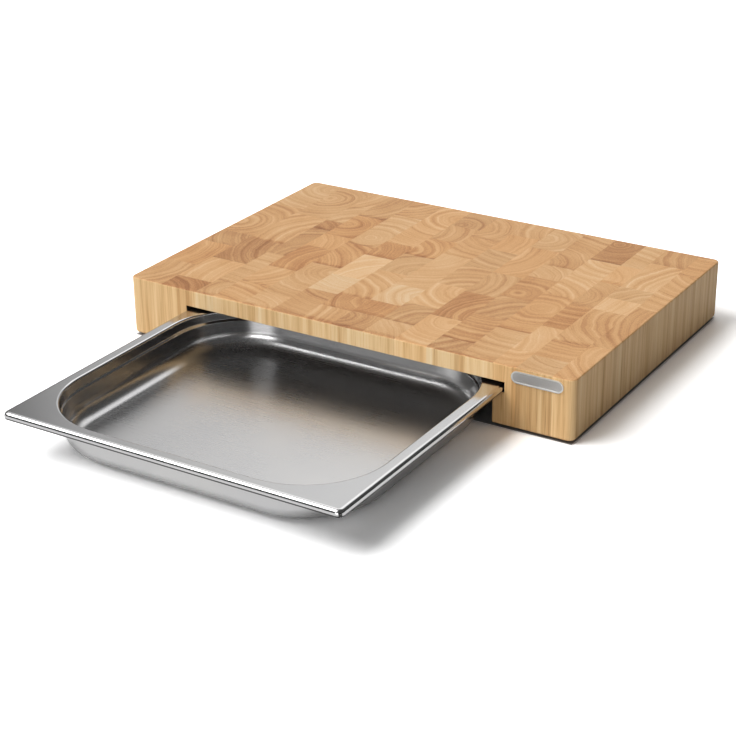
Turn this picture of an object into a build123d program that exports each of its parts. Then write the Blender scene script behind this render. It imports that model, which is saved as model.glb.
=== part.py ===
"""End-grain cutting board over a shallow steel tray that hangs by its rim in two grooves.

Millimetres. X runs along the front, Y from front to back, +Z up. The origin is on the table, in the
middle of the footprint of the board with its tray drawn out.
"""

from build123d import *
import os

# Tray: one pressed sheet
tray_width = 354.0
tray_length = 325.0
tray_depth = 40.0
sheet = 0.8
rim_width = 13.5  # from the outside of the lip to the cavity's wall
rim_corner_radius = 6.0
rim_bend_radius = 4.0  # where the rim turns down into the lip
lip_height = 7.0
lip_curl_radius = 1.6  # where the lip's lower edge is rolled inwards
mouth_bend_radius = 2.5  # where the rim turns down into the cavity
mouth_corner_radius = 77.0
wall_lean = 0.03  # how far the walls lean in, for each mm down
shoulder_drop = 10.0  # from the rim to the stacking shoulder
shoulder_step = 1.8
shoulder_bend_radius = 1.2
floor_bend_radius = 16.0
tray_pull = 272.0  # how far the tray is drawn out

# Wood
board_width = 495.0
behind_tray = 15.0  # how far the board reaches past the tray when that is pushed home
slab_thickness = 17.5  # over the slot
board_corner_radius = 7.0
top_edge_radius = 1.5
bottom_edge_radius = 2.5
slot_edge_radius = 0.8

# Clearances between the tray and the wood
lip_gap = 0.3  # under the lip, which slides on the floor of the groove
rim_head_gap = 2.7  # over the rim
rim_side_gap = 1.0  # beside the lip, in the groove
pan_side_gap = 1.7  # beside the pan, in the slot
pan_bottom_gap = 0.3  # the pan's underside lies this much above the wood's

# Strips: each leg has one that holds the groove, and shares out the rest from the outside in
left_grooved_strip = 41.5
left_outer_shares = [1]
right_grooved_strip = 23.5
right_outer_shares = [3, 5]
slab_first_strip = 21.5
slab_strip = 34.5
narrowest_strip = 12.0

# Blocks: the joints in each strip, measured from the back edge
shortest_block = 18.0
left_leg_joints = [(85, 182, 218, 281), (100, 188, 254, 313)]
right_leg_joints = [(60, 160, 262), (44, 118, 150, 182, 268, 307), (66, 116, 182, 244, 304)]
slab_joints = [
    (50, 101, 130, 215, 303),
    (72, 138, 176, 245, 293),
    (51, 150, 216, 306),
    (125, 169, 232, 276),
    (48, 93, 147, 198, 272, 305),
    (68, 127, 222, 270, 303),
    (42, 91, 144, 200, 258, 305),
    (65, 147, 205, 273),
    (101, 137, 197, 250, 313),
    (66, 118, 171, 268),
]

# Feet, one under each end of each leg
foot_height = 3.0
foot_diameter = 20.0
foot_edge_radius = 0.6
foot_inset = 30.0  # from the front and back edges to the foot's centre

# Name plate on the front of the right leg
plate_width = 52.0
plate_height = 12.0
plate_thickness = 1.0
plate_border = 1.3
plate_recess = 0.3
plate_to_top = 3.0
plate_to_side = 10.5

# Modelling aids
past_board = 20.0  # how far a cutting box reaches past the board
quarter_turn = 90.0

# Heights above the table
wood_bottom = foot_height
tray_bottom = wood_bottom + pan_bottom_gap
rim_top = tray_bottom + tray_depth
lip_bottom = rim_top - lip_height
groove_floor = lip_bottom - lip_gap
slot_roof = rim_top + rim_head_gap
wood_top = slot_roof + slab_thickness

# Places along X and Y
board_depth = tray_length + behind_tray
board_back = (board_depth + tray_pull) / 2
board_front = board_back - board_depth
board_middle = (board_back + board_front) / 2
tray_middle = board_front + tray_length / 2 - tray_pull
cavity_width = tray_width - 2 * rim_width
cavity_length = tray_length - 2 * rim_width
slot_half = cavity_width / 2 + sheet + pan_side_gap
groove_half = tray_width / 2 + rim_side_gap
board_half = board_width / 2

# The tray's wall: how far it lies in from the mouth's edge, and down from the rim
shoulder_in = shoulder_drop * wall_lean
step_in = shoulder_in + shoulder_step
step_drop = shoulder_drop + shoulder_step
floor_drop = tray_depth - sheet
floor_in = step_in + (floor_drop - step_drop) * wall_lean
floor_edge = floor_in + 2 * floor_bend_radius  # the wall's section ends here, past its bend


def box_between(x, y, z):
    """A box from three (low, high) pairs."""
    sides = [high - low for low, high in (x, y, z)]
    middle = [(low + high) / 2 for low, high in (x, y, z)]
    return Pos(*middle) * Box(*sides)


def top_edges(shape):
    """The level edges round the top of a plain block."""
    return shape.edges().group_by(Axis.Z)[-1]


def bottom_edges(shape):
    """The level edges round the bottom of a plain block."""
    return shape.edges().group_by(Axis.Z)[0]


def whole_board():
    """The board before it is divided into blocks: rounded outside, with the slot and its grooves."""
    outline = RectangleRounded(board_width, board_depth, board_corner_radius)
    board = Pos(0, board_middle, wood_bottom) * extrude(outline, wood_top - wood_bottom)
    board = fillet(top_edges(board), top_edge_radius)
    board = fillet(bottom_edges(board), bottom_edge_radius)
    through = (board_front - past_board, board_back + past_board)
    slot = box_between((-slot_half, slot_half), through, (0, slot_roof))
    grooves = box_between((-groove_half, groove_half), through, (groove_floor, slot_roof))
    board -= slot + grooves
    return fillet(slot_mouth_edges(board), slot_edge_radius)


def slot_mouth_edges(board):
    """The edges round the slot's two mouths, on the flat front and back of the board."""
    by_depth = board.faces().sort_by(Axis.Y)
    return [
        edge
        for edge in by_depth[0].edges() + by_depth[-1].edges()
        if abs(edge.center().X) < groove_half + slot_edge_radius
        and edge.center().Z < slot_roof + slot_edge_radius
    ]


def leg_edges(outer_shares, grooved_strip):
    """The sides of a leg's strips, as distances in from the board's side."""
    leg_width = board_half - slot_half
    share = (leg_width - grooved_strip) / sum(outer_shares)
    edges = [0.0]
    for count in outer_shares:
        edges.append(edges[-1] + count * share)
    return edges + [leg_width]


def slab_edges():
    """The sides of the slab's strips from left to right; the last strip takes what is left."""
    edges = [-slot_half, -slot_half + slab_first_strip]
    while slot_half - edges[-1] > slab_strip + narrowest_strip:
        edges.append(edges[-1] + slab_strip)
    return edges + [slot_half]


def blocks_of(board, sides, joints):
    """One strip of the board, cut into its blocks."""
    kept = [joint for joint in joints if joint < board_depth - shortest_block]
    cuts = [board_back - joint for joint in (-past_board, *kept, board_depth + past_board)]
    height = (0, wood_top + past_board)
    return [
        board & box_between(sorted(sides), (front, back), height)
        for back, front in zip(cuts, cuts[1:])
    ]


def strips(board, name, edges, patterns):
    """Each strip between these edges, as a group of blocks; past the last pattern they start again."""
    return {
        f"{name}_{n + 1}": Compound(children=blocks_of(board, sides, patterns[n % len(patterns)]))
        for n, sides in enumerate(zip(edges, edges[1:]))
    }


def wooden_strips():
    """All the wood: the legs from the outside in, and the slab from left to right."""
    board = whole_board()
    left = [edge - board_half for edge in leg_edges(left_outer_shares, left_grooved_strip)]
    right = [board_half - edge for edge in leg_edges(right_outer_shares, right_grooved_strip)]
    return {
        **strips(board, "left_leg_strip", left, left_leg_joints),
        **strips(board, "slab_strip", slab_edges(), slab_joints),
        **strips(board, "right_leg_strip", right, right_leg_joints),
    }


def wall_section():
    """The sheet's section from the rim down to the floor; X is the distance out from the mouth's edge."""
    skin = FilletPolyline(
        (rim_width - rim_bend_radius, 0),
        (0, 0),
        (-shoulder_in, -shoulder_drop),
        (-step_in, -step_drop),
        (-floor_in, -floor_drop),
        (-floor_edge, -floor_drop),
        radius=[mouth_bend_radius, shoulder_bend_radius, shoulder_bend_radius, floor_bend_radius],
    )
    return make_face(skin.wire().offset_2d(sheet, side=Side.LEFT))


def tray_wall():
    """The wall all the way round: four straight sides and four turned corners."""
    section = Plane.XZ * wall_section()
    half_x = cavity_width / 2
    half_y = cavity_length / 2
    straight_x = half_x - mouth_corner_radius
    straight_y = half_y - mouth_corner_radius
    side = extrude(Pos(half_x, straight_y, 0) * section, 2 * straight_y, dir=(0, -1, 0))
    end_section = Pos(straight_x, half_y, 0) * Rot(0, 0, quarter_turn) * section
    end = extrude(end_section, 2 * straight_x, dir=(-1, 0, 0))
    corner_axis = Axis((straight_x, straight_y, 0), (0, 0, 1))
    corner = revolve(Pos(half_x, straight_y, 0) * section, corner_axis, quarter_turn)
    corners = [corner, mirror(corner, Plane.YZ)]
    corners += [mirror(shape, Plane.XZ) for shape in corners]
    return side + mirror(side, Plane.YZ) + end + mirror(end, Plane.XZ) + corners


def tray_rim():
    """The flat rim and its turned-down lip with a rolled lower edge, open over the cavity."""

    def outline(inset):
        return RectangleRounded(
            tray_width - 2 * inset, tray_length - 2 * inset, rim_corner_radius - inset
        )

    def block(inset):
        solid = Pos(0, 0, inset - lip_height) * extrude(outline(inset), lip_height - 2 * inset)
        solid = fillet(top_edges(solid), rim_bend_radius - inset)
        return fillet(bottom_edges(solid), lip_curl_radius - inset)

    underside = Pos(0, 0, -lip_height) * extrude(outline(lip_curl_radius), 2 * sheet)
    reach = rim_width - rim_bend_radius
    mouth = RectangleRounded(
        cavity_width + 2 * reach, cavity_length + 2 * reach, mouth_corner_radius + reach
    )
    return block(0) - block(sheet) - underside - extrude(mouth, lip_height, both=True)


def tray_floor():
    """The flat floor inside the turned edge."""
    outline = RectangleRounded(
        cavity_width - 2 * floor_edge,
        cavity_length - 2 * floor_edge,
        mouth_corner_radius - floor_edge,
    )
    return Pos(0, 0, -tray_depth) * extrude(outline, sheet)


def tray():
    """The tray where it hangs, drawn out to the front."""
    return Pos(0, tray_middle, rim_top) * (tray_rim() + tray_wall() + tray_floor())


def foot(x, y):
    """A rubber disc under the wood, rounded where it meets the table."""
    disc = Pos(x, y, foot_height / 2) * Cylinder(foot_diameter / 2, foot_height)
    return fillet(bottom_edges(disc), foot_edge_radius)


def feet():
    """A foot under each end of each leg, in the middle of the leg's width."""
    across = (slot_half + board_half) / 2
    front, back = board_front + foot_inset, board_back - foot_inset
    return {
        "foot_front_left": foot(-across, front),
        "foot_front_right": foot(across, front),
        "foot_back_left": foot(-across, back),
        "foot_back_right": foot(across, back),
    }


def name_plate():
    """A blank plate with round ends and a raised border, flat on the front of the right leg."""

    def stadium(inset, thickness):
        outline = SlotOverall(plate_width - 2 * inset, plate_height - 2 * inset)
        return extrude(Plane.XZ * outline, thickness)

    field = Pos(0, plate_recess - plate_thickness, 0) * stadium(plate_border, plate_recess)
    plate = stadium(0, plate_thickness) - field
    x = board_half - plate_to_side - plate_width / 2
    z = wood_top - plate_to_top - plate_height / 2
    return Pos(x, board_front, z) * plate


pieces = {**wooden_strips(), "tray": tray(), **feet(), "name_plate": name_plate()}
os.makedirs("parts", exist_ok=True)
for node, shape in pieces.items():
    export_step(shape, f"parts/{node}.step")
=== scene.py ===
"""Looks for the end-grain cutting board and its steel tray: materials, floor, light and camera.

The scene is in metres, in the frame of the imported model. Materials work in millimetres, and a noise's
scale is how much of it fits in one millimetre.
"""

import math
import random

import bpy
from mathutils import Matrix, Vector


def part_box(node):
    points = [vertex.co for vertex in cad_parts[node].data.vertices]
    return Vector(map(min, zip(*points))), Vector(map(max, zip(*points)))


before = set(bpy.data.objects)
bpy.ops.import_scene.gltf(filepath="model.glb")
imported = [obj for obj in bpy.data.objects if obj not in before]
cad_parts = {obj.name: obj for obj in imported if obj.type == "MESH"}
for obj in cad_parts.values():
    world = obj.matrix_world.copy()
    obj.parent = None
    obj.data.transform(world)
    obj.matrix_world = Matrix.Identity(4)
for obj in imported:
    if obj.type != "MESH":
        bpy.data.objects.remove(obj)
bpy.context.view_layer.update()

MM = 0.001
DEGREE = math.radians(1.0)


# ---------------------------------------------------------------- node trees


class Tree:
    """Short calls for building a node tree. A value may be a number, a colour, a vector or a socket."""

    def __init__(self, tree):
        self.tree = tree
        tree.nodes.clear()

    def node(self, kind, **settings):
        made = self.tree.nodes.new("ShaderNode" + kind)
        for name, value in settings.items():
            setattr(made, name, value)
        return made

    def put(self, socket, value):
        if isinstance(value, bpy.types.NodeSocket):
            self.tree.links.new(value, socket)
        else:
            socket.default_value = value

    def math(self, operation, *values):
        made = self.node("Math", operation=operation)
        for socket, value in zip(made.inputs, values):
            self.put(socket, value)
        return made.outputs[0]

    def vector(self, operation, *values):
        made = self.node("VectorMath", operation=operation)
        for socket, value in zip(made.inputs, values):
            self.put(socket, value)
        return made.outputs["Value" if operation == "LENGTH" else "Vector"]

    def scale(self, vector, factor):
        made = self.node("VectorMath", operation="SCALE")
        self.put(made.inputs[0], vector)
        self.put(made.inputs["Scale"], factor)
        return made.outputs["Vector"]

    def split(self, vector):
        made = self.node("SeparateXYZ")
        self.put(made.inputs[0], vector)
        return made.outputs[0], made.outputs[1], made.outputs[2]

    def join(self, x, y, z):
        made = self.node("CombineXYZ")
        for socket, value in zip(made.inputs, (x, y, z)):
            self.put(socket, value)
        return made.outputs[0]

    def between(self, value, low, high, to_low=0.0, to_high=1.0, smooth=True):
        """value from low..high, mapped to to_low..to_high and held there outside."""
        made = self.node("MapRange", interpolation_type="SMOOTHSTEP" if smooth else "LINEAR")
        for socket, number in zip(made.inputs, (value, low, high, to_low, to_high)):
            self.put(socket, number)
        return made.outputs[0]

    def fade(self, value, low, high):
        """1 up to low, and 0 from high on."""
        return self.between(value, low, high, 1.0, 0.0)

    def from_middle(self, value, middle):
        """How far a value is from a middle, on either side."""
        return self.math("ABSOLUTE", self.math("SUBTRACT", value, middle))

    def noise(self, vector, scale, detail=2.0, roughness=0.5, w=None):
        """Smooth noise: its value, and three more as a colour. With w alone it runs along a line."""
        made = self.node("TexNoise")
        made.noise_dimensions = "1D" if vector is None else "4D" if w is not None else "3D"
        if vector is not None:
            self.put(made.inputs["Vector"], vector)
        if w is not None:
            self.put(made.inputs["W"], w)
        self.put(made.inputs["Scale"], scale)
        self.put(made.inputs["Detail"], detail)
        self.put(made.inputs["Roughness"], roughness)
        return made.outputs[0], made.outputs[1]

    def stretched_noise(self, vector, scales, detail, roughness=0.5):
        """Smooth noise with a scale of its own along each axis."""
        return self.noise(self.vector("MULTIPLY", vector, scales), 1.0, detail, roughness)[0]

    def ramp(self, factor, stops, interpolation="LINEAR"):
        """stops are (position, colour); returns the colour and the alpha."""
        made = self.node("ValToRGB")
        made.color_ramp.interpolation = interpolation
        elements = made.color_ramp.elements
        elements[0].position = stops[0][0]
        elements[1].position = stops[-1][0]
        for position, _ in stops[1:-1]:
            elements.new(position)
        for element, (_, colour) in zip(elements, stops):
            element.color = tuple(colour) if len(colour) == 4 else (*colour, 1.0)
        self.put(made.inputs[0], factor)
        return made.outputs[0], made.outputs[1]

    def mix(self, factor, a, b, blend="MIX"):
        made = self.node("Mix", data_type="RGBA", blend_type=blend)
        for socket, value in ((made.inputs[0], factor), (made.inputs[6], a), (made.inputs[7], b)):
            self.put(socket, (*value, 1.0) if isinstance(value, tuple) else value)
        return made.outputs[2]

    def bump(self, height, distance, strength):
        made = self.node("Bump")
        self.put(made.inputs["Height"], height)
        made.inputs["Distance"].default_value = distance
        made.inputs["Strength"].default_value = strength
        return made.outputs[0]


def srgb(red, green, blue):
    """A colour from 0..255 screen values, in linear light."""
    knee, slope, offset, power = 0.04045, 12.92, 0.055, 2.4

    def linear(value):
        share = value / 255
        return share / slope if share <= knee else ((share + offset) / (1 + offset)) ** power

    return linear(red), linear(green), linear(blue)


def grey(level):
    return level, level, level


def material(name):
    made = bpy.data.materials.new(name)
    made.use_nodes = True
    return made, Tree(made.node_tree)


def surface(tree, **sockets):
    """Gives the material its shader, with these sockets set."""
    shader = tree.node("BsdfPrincipled")
    for name, value in sockets.items():
        tree.put(shader.inputs[name.replace("_", " ")], value)
    tree.put(tree.node("OutputMaterial").inputs["Surface"], shader.outputs[0])


def place_mm(tree):
    """Where a point is on the object at rest, in millimetres. It moves with the object's pieces."""
    return tree.scale(tree.node("TexCoord").outputs["Object"], 1 / MM)


def span_mm(node, axis):
    """The middle and the half width of a node along an axis, in millimetres."""
    low, high = (corner[axis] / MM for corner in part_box(node))
    return (low + high) / 2, (high - low) / 2


# ---------------------------------------------------------------- wood

# Colours by tone, from dark to pale: on top, and on the sides, where the fibres run up and down
END_GRAIN = [
    (0.00, srgb(146, 92, 50)),
    (0.25, srgb(184, 128, 78)),
    (0.50, srgb(212, 162, 108)),
    (0.75, srgb(226, 184, 134)),
    (1.00, srgb(236, 206, 166)),
]
LONG_GRAIN = [
    (0.00, srgb(156, 110, 64)),
    (0.30, srgb(206, 162, 108)),
    (0.60, srgb(233, 198, 146)),
    (1.00, srgb(246, 222, 182)),
]
# Painted shade: the colour that stands in for the shade inside the slot
SLOT_PAINTED_SHADE = (0.05, 0.035, 0.025)
SLOT_SHADE_SIDE = (178.6, 179.4)  # the painted shade inside the slot ends between these, mm from the middle
SLOT_SHADE_ROOF = (46.0, 46.9)  # and between these, mm above the table
WARM_TINT, COOL_TINT = (1.03, 0.975, 0.91), (0.985, 1.005, 1.03)
IS_END = (0.35, 0.8)  # how far up a normal points where long grain turns to end grain

# What the blocks draw for themselves
HEART_REACH = (12.0, 95.0)  # how far from a block's middle the heart of its tree lies, mm
RING_SPACING = (1.8, 3.8)  # mm
BLOCK_TONE = (0.54, 0.06)  # middle and spread
TONE_LIMITS = (0.12, 0.95)

# Ramps hold 0..1, so they keep a place as (mm + RAMP_REACH) / (2 * RAMP_REACH)
RAMP_REACH = 500.0
RAMP_SPACING = 10.0  # and a ring spacing as a share of this, mm

# Rings
RING_PROFILE = [(0.0, 0.1), (0.12, 0.75), (0.5, 0.62), (0.8, 0.42), (1.0, 0.1)]  # from ring to ring
RING_DRIFT = 0.12  # how much of the rings' unevenness carries on down a block
WARP = (0.016, 2.0, 12.0)  # scale, detail and reach in mm of the rings' wide bends
RIPPLE = (0.09, 1.0, 4.0)  # and of their small ones
SEED_STEP = 97.0  # spreads the blocks' seeds, so that no two share a pattern
BROAD = (0.16, 3.0, 40.0)  # scale, detail and seed step of the broad bands of rings
STRENGTH = (0.05, 1.0, 80.0)  # and of how strongly the rings show
STRENGTH_RANGE = (0.38, 0.68, 0.03, 0.23)  # from these two noise values to faint and strong rings

# Fibres and pores: scales along X, Y and Z
FIBRE = (0.7, 0.7, 0.014)
STREAK = (0.16, 0.16, 0.004)
PORE = (1.5, 1.5, 0.02)
PORE_RANGE = (0.52, 0.72)  # there is no pore below the first noise value, and a full one above the second
CLOUD_SCALE = 0.02

# The dark band along the front end of some blocks
BAND_DEPTH = (8.0, 14.0)  # it fades out between these, mm from the end
BAND_WANDER = (0.05, 12.0)  # scale and reach in mm of its uneven edge
BAND_TONE = (0.45, 1.0, 0.0, -0.22)  # a block that draws less than the first has none

# How much each part of the grain changes the tone
END_WEIGHTS = {"broad": 0.66, "cloud": 0.45, "fibre": 0.75, "end_band": 1.0, "pore": -0.1}
LONG_WEIGHTS = {"tone": -0.55, "ring": 0.08, "broad": 0.5, "streak": 0.85, "fibre": 0.45, "pore": -0.2}

# Blocks that stand out: strip, block counted from the back, and how much paler (+) or darker (-) it is
MARKED_BLOCKS = {
    "left_leg_strip_1": {2: -0.10, 4: -0.04},
    "left_leg_strip_2": {2: -0.12, 3: 0.05, 4: -0.24},
    "slab_strip_1": {1: 0.06, 2: -0.15},
    "slab_strip_2": {1: -0.10, 3: -0.14},
    "slab_strip_3": {0: -0.14, 1: 0.06, 4: 0.12},
    "slab_strip_4": {0: 0.06, 1: -0.10, 2: 0.32, 3: 0.08},
    "slab_strip_5": {3: 0.06},
    "slab_strip_6": {1: -0.09, 3: 0.16, 4: -0.14, 5: -0.09},
    "slab_strip_7": {1: 0.10},
    "slab_strip_8": {4: 0.06},
    "slab_strip_9": {2: -0.08, 4: -0.08},
    "slab_strip_10": {0: -0.11, 1: 0.10},
    "right_leg_strip_3": {3: -0.14, 4: 0.14},
    "right_leg_strip_2": {0: -0.08, 1: 0.06, 3: 0.12},
    "right_leg_strip_1": {0: -0.08, 1: -0.08, 2: -0.06, 3: -0.08},
}

# How much paler (+) or darker (-) a strip is on its sides
LEG_SIDE_SHIFT = {"left_leg_strip_1": -0.02, "right_leg_strip_3": -0.16, "right_leg_strip_2": -0.20}
SLAB_SIDE_SHIFT = 0.07


def side_shift(node):
    return SLAB_SIDE_SHIFT if node.startswith("slab") else LEG_SIDE_SHIFT.get(node, 0.0)


def packed(length_mm):
    return (length_mm + RAMP_REACH) / (2 * RAMP_REACH)


def unpacked(tree, value):
    return tree.math("MULTIPLY_ADD", value, 2 * RAMP_REACH, -RAMP_REACH)


def joints_mm(node):
    """The places along Y where a strip is divided into blocks, with its two ends."""
    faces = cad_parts[node].data.polygons
    square_on = 0.9999
    return sorted({round(face.center.y / MM, 1) for face in faces if abs(face.normal.y) > square_on})


def block_looks(node, cuts, draws):
    """For each block of a strip: where it starts, its tree's heart, tone, ring spacing, hue and end band."""
    middle_x, _ = span_mm(node, 0)
    marks = MARKED_BLOCKS.get(node, {})
    last = len(cuts) - 2
    looks = []
    for number, (start, stop) in enumerate(zip(cuts, cuts[1:])):
        angle = draws.uniform(0, 2 * math.pi)
        reach = draws.uniform(*HEART_REACH)
        heart_x = middle_x + reach * math.cos(angle)
        heart_y = (start + stop) / 2 + reach * math.sin(angle)
        tone = draws.gauss(*BLOCK_TONE) + marks.get(last - number, 0.0)
        tone = min(max(tone, TONE_LIMITS[0]), TONE_LIMITS[1])
        spacing = draws.uniform(*RING_SPACING)
        hue, band = draws.random(), draws.random()
        looks.append((start, heart_x, heart_y, tone, spacing, hue, band))
    return looks


def look_up(tree, node, draws, y):
    """What the block at y has of its own: its start, its tree's heart, tone, ring spacing, hue, end band."""
    cuts = joints_mm(node)
    low, high = cuts[0], cuts[-1]
    hearts, others = [], []
    for start, heart_x, heart_y, tone, spacing, hue, band in block_looks(node, cuts, draws):
        share = (start - low) / (high - low)
        hearts.append((share, (packed(heart_x), packed(heart_y), tone, spacing / RAMP_SPACING)))
        others.append((share, (packed(start), hue, band)))
    along = tree.between(y, low, high, smooth=False)
    heart, spacing = tree.ramp(along, hearts, "CONSTANT")
    heart_x, heart_y, tone = tree.split(heart)
    start, hue, band = tree.split(tree.ramp(along, others, "CONSTANT")[0])
    return start, heart_x, heart_y, tone, spacing, hue, band


def rings(tree, place, heart_x, heart_y, spacing, seed):
    """The rings' shade, and the distance from the heart in millimetres."""
    x, y, z = tree.split(place)
    drifting = tree.join(x, y, tree.math("MULTIPLY", z, RING_DRIFT))

    def bends(scale, detail, reach):
        _, aside = tree.noise(drifting, scale, detail=detail, w=seed)
        return tree.scale(tree.vector("SUBTRACT", aside, grey(0.5)), reach)

    away = tree.join(
        tree.math("SUBTRACT", x, unpacked(tree, heart_x)),
        tree.math("SUBTRACT", y, unpacked(tree, heart_y)),
        0.0,
    )
    bent = tree.vector("ADD", tree.vector("ADD", away, bends(*WARP)), bends(*RIPPLE))
    radius = tree.vector("LENGTH", tree.vector("MULTIPLY", bent, (1, 1, 0)))
    turns = tree.math("DIVIDE", radius, tree.math("MULTIPLY", spacing, RAMP_SPACING))
    profile = [(position, grey(shade)) for position, shade in RING_PROFILE]
    ring, _ = tree.ramp(tree.math("FRACT", turns), profile)
    return ring, radius


def from_ring_to_ring(tree, radius, seed, scale, detail, step):
    """Noise that changes with the distance from the heart, and differs from block to block."""
    shifted = tree.math("ADD", radius, tree.math("MULTIPLY", seed, step))
    return tree.noise(None, scale, detail=detail, w=shifted)[0]


def end_band(tree, place, y, start, band, seed):
    """Darker along the front end of some blocks, where the wood drank more oil."""
    scale, reach = BAND_WANDER
    from_start = tree.math("SUBTRACT", y, unpacked(tree, start))
    wandering = tree.math("MULTIPLY_ADD", tree.noise(place, scale, w=seed)[0], reach, from_start)
    return tree.math("MULTIPLY", tree.fade(wandering, *BAND_DEPTH), tree.between(band, *BAND_TONE))


def wood(node, draws):
    """End-grain wood for one strip: rings round each block's own heart, that run down as long grain."""
    made, tree = material(f"wood_{node}")
    place = place_mm(tree)
    x, y, z = tree.split(place)
    start, heart_x, heart_y, tone, spacing, hue, band = look_up(tree, node, draws, y)
    seed = tree.math("MULTIPLY", heart_x, SEED_STEP)
    ring, radius = rings(tree, place, heart_x, heart_y, spacing, seed)
    strength = tree.between(from_ring_to_ring(tree, radius, seed, *STRENGTH), *STRENGTH_RANGE)
    fibre = tree.stretched_noise(place, FIBRE, detail=3.0, roughness=0.65)
    grain = {  # each part of the grain, and its middle
        "tone": (tone, 0.55),
        "ring": (ring, 0.5),
        "broad": (from_ring_to_ring(tree, radius, seed, *BROAD), 0.5),
        "cloud": (tree.noise(place, CLOUD_SCALE, detail=3.0)[0], 0.5),
        "fibre": (fibre, 0.5),
        "streak": (tree.stretched_noise(place, STREAK, detail=2.0), 0.5),
        "pore": (tree.between(tree.stretched_noise(place, PORE, detail=1.0), *PORE_RANGE), 0.0),
        "end_band": (end_band(tree, place, y, start, band, seed), 0.0),
    }

    def toned(weights):
        total = tone
        for part, weight in weights.items():
            value, middle = grain[part]
            total = tree.math("MULTIPLY_ADD", tree.math("SUBTRACT", value, middle), weight, total)
        return total

    end_colour, _ = tree.ramp(toned({"ring": strength, **END_WEIGHTS}), END_GRAIN)
    long_colour, _ = tree.ramp(tree.math("ADD", toned(LONG_WEIGHTS), side_shift(node)), LONG_GRAIN)
    _, towards_front, upwards = tree.split(tree.node("NewGeometry").outputs["Normal"])
    is_end = tree.between(tree.math("ABSOLUTE", upwards), *IS_END)
    colour = tree.mix(is_end, long_colour, end_colour)
    colour = tree.mix(1.0, colour, tree.mix(hue, WARM_TINT, COOL_TINT), "MULTIPLY")

    # Painted shade: the faces inside the slot are darkened, apart from those that face the front or the back
    slot_shade = tree.math("MULTIPLY", tree.fade(tree.math("ABSOLUTE", x), *SLOT_SHADE_SIDE),
                        tree.fade(z, *SLOT_SHADE_ROOF))
    slot_shade = tree.math("MULTIPLY", slot_shade, tree.fade(tree.math("ABSOLUTE", towards_front), 0.2, 0.5))
    height = tree.math("ADD", tree.math("MULTIPLY", fibre, 0.7), tree.math("MULTIPLY", ring, 0.3))
    surface(
        tree,
        Base_Color=tree.mix(slot_shade, colour, SLOT_PAINTED_SHADE),
        Roughness=tree.between(fibre, 0.3, 0.7, 0.46, 0.6),
        Specular_IOR_Level=0.35,
        Normal=tree.bump(height, 0.12 * MM, 0.6),
    )
    return made


# ---------------------------------------------------------------- steel and rubber

STEEL_ROUGHNESS = (0.28, 0.15)  # on the tray's floor, and on the walls and the rim
FLOOR_TO_WALL = (10.0, 24.0)  # the roughness changes between these, mm above the table
STEEL_COLOURS = srgb(198, 198, 200), srgb(210, 209, 207)
# The painted dark reflection on the lip's rolled edge and in its corners
STEEL_PAINTED_REFLECTION = srgb(58, 57, 56)
BRUSHED = (0.02, 1.4, 1.4)  # scales of the brush marks along X, Y and Z
SMEAR_SCALE = 0.012

# The painted dark reflection on the lip's edge and corners: from full to none between two lengths, in from
# the outside or up, mm
EDGE_REACH, EDGE_TOP = (1.7, 1.9), (38.0, 38.5)
CORNER_REACH, CORNER_TOP = (2.6, 3.4), (40.5, 41.5)

PLATE_GRAIN = (0.3, 6.0, 6.0)
PLATE_FIELD = srgb(205, 203, 200), srgb(232, 230, 227)
PLATE_BORDER = srgb(252, 252, 250)
BORDER_WIDTH = (1.5, 1.3)  # the border starts between these, mm from the plate's edge

RUBBER_GRAIN_SCALE = 2.0
RUBBER_COLOURS = srgb(28, 27, 26), srgb(42, 41, 40)


def steel():
    """Pressed stainless steel: satin on the floor, brighter on the walls and the rim."""
    made, tree = material("steel_tray")
    place = place_mm(tree)
    x, y, z = tree.split(place)
    brushed = tree.stretched_noise(place, BRUSHED, detail=3.0, roughness=0.6)
    smear, _ = tree.noise(place, SMEAR_SCALE, detail=3.0)
    roughness = tree.between(z, *FLOOR_TO_WALL, *STEEL_ROUGHNESS)
    for uneven, amount in ((brushed, 0.05), (smear, 0.06)):
        roughness = tree.math("MULTIPLY_ADD", tree.math("SUBTRACT", uneven, 0.5), amount, roughness)

    # Painted dark reflection: the rolled lower edge of the lip and its tight corners are darkened in the
    # colour
    inwards = []  # how far in from the lip's outside a point lies, from the sides and from the ends
    for axis, along in enumerate((x, y)):
        middle, half = span_mm("tray", axis)
        inwards.append(tree.math("SUBTRACT", half, tree.from_middle(along, middle)))
    on_edge = tree.fade(tree.math("MINIMUM", *inwards), *EDGE_REACH)
    on_corner = tree.fade(tree.math("MAXIMUM", *inwards), *CORNER_REACH)
    rolled = tree.fade(z, *EDGE_TOP)
    turned = tree.math("MULTIPLY", on_corner, tree.fade(z, *CORNER_TOP))
    painted_dark_reflection = tree.math("MULTIPLY", on_edge, tree.math("MAXIMUM", rolled, turned))
    surface(
        tree,
        Base_Color=tree.mix(painted_dark_reflection, tree.mix(smear, *STEEL_COLOURS), STEEL_PAINTED_REFLECTION),
        Metallic=1.0,
        Roughness=roughness,
        Normal=tree.bump(brushed, 0.008 * MM, 0.05),
    )
    return made


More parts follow.
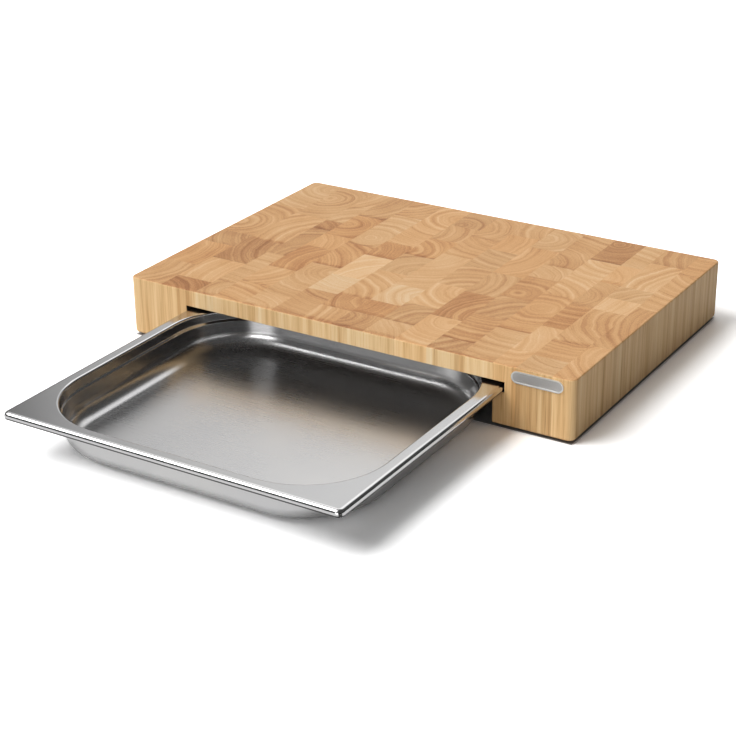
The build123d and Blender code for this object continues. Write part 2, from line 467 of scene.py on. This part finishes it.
def plate_metal():
    """Satin metal, bright on the raised border and greyer on the field inside it."""
    made, tree = material("plate_metal")
    place = place_mm(tree)
    x, _, z = tree.split(place)
    grain = tree.stretched_noise(place, PLATE_GRAIN, detail=2.0)
    middle_x, half_x = span_mm("name_plate", 0)
    middle_z, radius = span_mm("name_plate", 2)

    # The plate's ends are half circles, so its edge is one radius from the line between their centres
    past_centre = tree.math("SUBTRACT", tree.from_middle(x, middle_x), half_x - radius)
    from_line = tree.join(tree.math("MAXIMUM", past_centre, 0.0), tree.math("SUBTRACT", z, middle_z), 0.0)
    inner, outer = (radius - width for width in BORDER_WIDTH)
    border = tree.between(tree.vector("LENGTH", from_line), inner, outer)
    surface(
        tree,
        Base_Color=tree.mix(border, tree.mix(grain, *PLATE_FIELD), PLATE_BORDER),
        Metallic=1.0,
        Roughness=tree.between(grain, 0.3, 0.7, 0.34, 0.46),
        Normal=tree.bump(grain, 0.02 * MM, 0.4),
    )
    return made


def rubber():
    made, tree = material("rubber_feet")
    grain, _ = tree.noise(place_mm(tree), RUBBER_GRAIN_SCALE)
    surface(
        tree,
        Base_Color=tree.mix(grain, *RUBBER_COLOURS),
        Roughness=0.75,
        Normal=tree.bump(grain, 0.05 * MM, 0.5),
    )
    return made


# ---------------------------------------------------------------- the object

WOOD_SEED = 11


def dress():
    """Each CAD node keeps its shape and gets its own material."""
    draws = random.Random(WOOD_SEED)
    metal, plate, feet = steel(), plate_metal(), rubber()
    for name, piece in sorted(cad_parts.items()):
        if "strip" in name:
            look = wood(name, draws)
        elif name == "tray":
            look = metal
        elif name == "name_plate":
            look = plate
        else:
            look = feet
        piece.material_slots[0].link = "OBJECT"
        piece.material_slots[0].material = look


# ---------------------------------------------------------------- studio

FLOOR_SIZE = 8.0
FLOOR_SEEN = 1.6  # the floor's colour to the camera: white where the light is full
FLOOR_MIRRORED = 1.0  # to what mirrors it
FLOOR_OTHERWISE = 0.66  # to the light that it throws back
GAP_SHADE = 0.2  # what is left of that colour in the gap under the wood
GAP_EDGE = (-0.5, 3.0)  # the shade sets in between these, mm in from the board's outline

KEY_ENERGY = 2.38
KEY_ANGLE = 40 * DEGREE
KEY_DIRECTION = Vector((0.50, 0.36, -0.79))

CAMERA_AZIMUTH = 31.949 * DEGREE
CAMERA_ELEVATION = 24.623 * DEGREE
CAMERA_ROLL = -0.640 * DEGREE
CAMERA_DISTANCE = 1.7713
CAMERA_TARGET = Vector((0.0060, 0.0106, 0.003))
CAMERA_LENS = 89.02
CAMERA_SENSOR = 36.0


def studio_floor():
    """A pale floor that keeps the shadow and is white in the picture where the light is full."""
    mesh = bpy.data.meshes.new("floor")
    half = FLOOR_SIZE / 2
    corners = [(-half, -half, 0), (half, -half, 0), (half, half, 0), (-half, half, 0)]
    mesh.from_pydata(corners, [], [(0, 1, 2, 3)])
    floor = bpy.data.objects.new("floor", mesh)
    bpy.context.scene.collection.objects.link(floor)
    made, tree = material("floor")
    path = tree.node("LightPath").outputs
    colour = tree.mix(path["Is Glossy Ray"], grey(FLOOR_OTHERWISE), grey(FLOOR_MIRRORED))
    colour = tree.mix(path["Is Camera Ray"], colour, grey(FLOOR_SEEN))

    # The narrow gap under the wood is in deep shade
    x, y, _ = tree.split(place_mm(tree))
    middle_y, half_y = span_mm("left_leg_strip_1", 1)
    half_x = -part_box("left_leg_strip_1")[0].x / MM
    inside = tree.math("MINIMUM", tree.math("SUBTRACT", half_x, tree.math("ABSOLUTE", x)),
                       tree.math("SUBTRACT", half_y, tree.from_middle(y, middle_y)))
    shade = tree.between(inside, *GAP_EDGE, 1.0, GAP_SHADE)
    diffuse = tree.node("BsdfDiffuse")
    tree.put(diffuse.inputs["Color"], tree.mix(1.0, colour, tree.join(shade, shade, shade), "MULTIPLY"))
    tree.put(tree.node("OutputMaterial").inputs["Surface"], diffuse.outputs[0])
    mesh.materials.append(made)


def studio_level(tree):
    """How bright the studio is in each direction, as the object sees it."""
    x, y, z = tree.split(tree.node("TexCoord").outputs["Generated"])
    heading = tree.math("ARCTAN2", x, y)  # 0 towards the back, positive to the right

    def window(value, low, high, soft):
        """1 between low and high, fading out over soft on each side."""
        rise = tree.between(value, low - soft / 2, low + soft / 2)
        return tree.math("MULTIPLY", rise, tree.fade(value, high - soft / 2, high + soft / 2))

    def patch(*windows):
        part = windows[0]
        for other in windows[1:]:
            part = tree.math("MULTIPLY", part, other)
        return part

    left = tree.fade(x, -0.22, 0.2)
    level = tree.math("MULTIPLY_ADD", left, 0.42, 0.08)

    # Bright areas: a card at the back left, one high over it, and one low at the front
    card = patch(
        tree.between(heading, -44.5 * DEGREE, -32 * DEGREE),
        tree.fade(heading, -27 * DEGREE, -16 * DEGREE),
        window(z, -0.1, 0.62, 0.1),
    )
    high_card = patch(window(heading, -60 * DEGREE, 12 * DEGREE, 8 * DEGREE), window(z, 0.56, 0.82, 0.08))
    front_card = patch(window(x, -0.22, 0.32, 0.12), tree.fade(y, -0.6, -0.4), tree.fade(z, 0.24, 0.36))
    for part, amount in ((card, 0.42), (high_card, 1.1), (front_card, 5.2)):
        level = tree.math("MULTIPLY_ADD", part, amount, level)

    # Dark areas: low at the left, low at the back, and at the front left
    low_left = patch(window(heading, -100 * DEGREE, -43.5 * DEGREE, 3.5 * DEGREE), tree.fade(z, 0.45, 0.7))
    low_back = patch(tree.between(y, 0.2, 0.5), tree.fade(z, 0.1, 0.28))
    front_left = patch(tree.fade(y, -0.25, -0.05), tree.fade(z, 0.58, 0.72), tree.fade(x, -0.34, -0.26))
    for part, kept in ((low_left, 0.3), (low_back, 0.25), (front_left, 0.12)):
        level = tree.math("MULTIPLY", level, tree.math("MULTIPLY_ADD", part, kept - 1.0, 1.0))
    return level


def studio_world():
    """White to the camera. To the object: a bright left and back, a dim right and a dark low left end."""
    world = bpy.data.worlds.new("studio")
    world.use_nodes = True
    bpy.context.scene.world = world
    tree = Tree(world.node_tree)
    level = studio_level(tree)
    background = tree.node("Background")
    tree.put(background.inputs["Color"], tree.join(level, level, level))
    white = tree.node("Background")
    white.inputs["Color"].default_value = (1, 1, 1, 1)
    shown = tree.node("MixShader")
    tree.put(shown.inputs[0], tree.node("LightPath").outputs["Is Camera Ray"])
    tree.put(shown.inputs[1], background.outputs[0])
    tree.put(shown.inputs[2], white.outputs[0])
    tree.put(tree.node("OutputWorld").inputs["Surface"], shown.outputs[0])


def key_light():
    """One wide soft light, from the left and the front."""
    data = bpy.data.lights.new("key", "SUN")
    data.angle = KEY_ANGLE
    data.energy = KEY_ENERGY
    made = bpy.data.objects.new("key", data)
    bpy.context.scene.collection.objects.link(made)
    made.rotation_mode = "QUATERNION"
    made.rotation_quaternion = KEY_DIRECTION.to_track_quat("-Z", "Y")


def camera():
    """The photograph's camera, from the board's measured corners."""
    back = Vector((
        math.sin(CAMERA_AZIMUTH) * math.cos(CAMERA_ELEVATION),
        -math.cos(CAMERA_AZIMUTH) * math.cos(CAMERA_ELEVATION),
        math.sin(CAMERA_ELEVATION),
    ))
    right = Vector((math.cos(CAMERA_AZIMUTH), math.sin(CAMERA_AZIMUTH), 0))
    up = back.cross(right)
    across = math.cos(CAMERA_ROLL) * right + math.sin(CAMERA_ROLL) * up
    upright = math.cos(CAMERA_ROLL) * up - math.sin(CAMERA_ROLL) * right
    data = bpy.data.cameras.new("camera")
    data.sensor_width = CAMERA_SENSOR
    data.lens = CAMERA_LENS
    made = bpy.data.objects.new("camera", data)
    bpy.context.scene.collection.objects.link(made)
    turned = Matrix((across, upright, back)).transposed().to_4x4()
    turned.translation = CAMERA_TARGET + back * CAMERA_DISTANCE
    made.matrix_world = turned
    bpy.context.scene.camera = made


dress()
studio_floor()
studio_world()
key_light()
camera()
bpy.context.scene.view_settings.view_transform = "Standard"
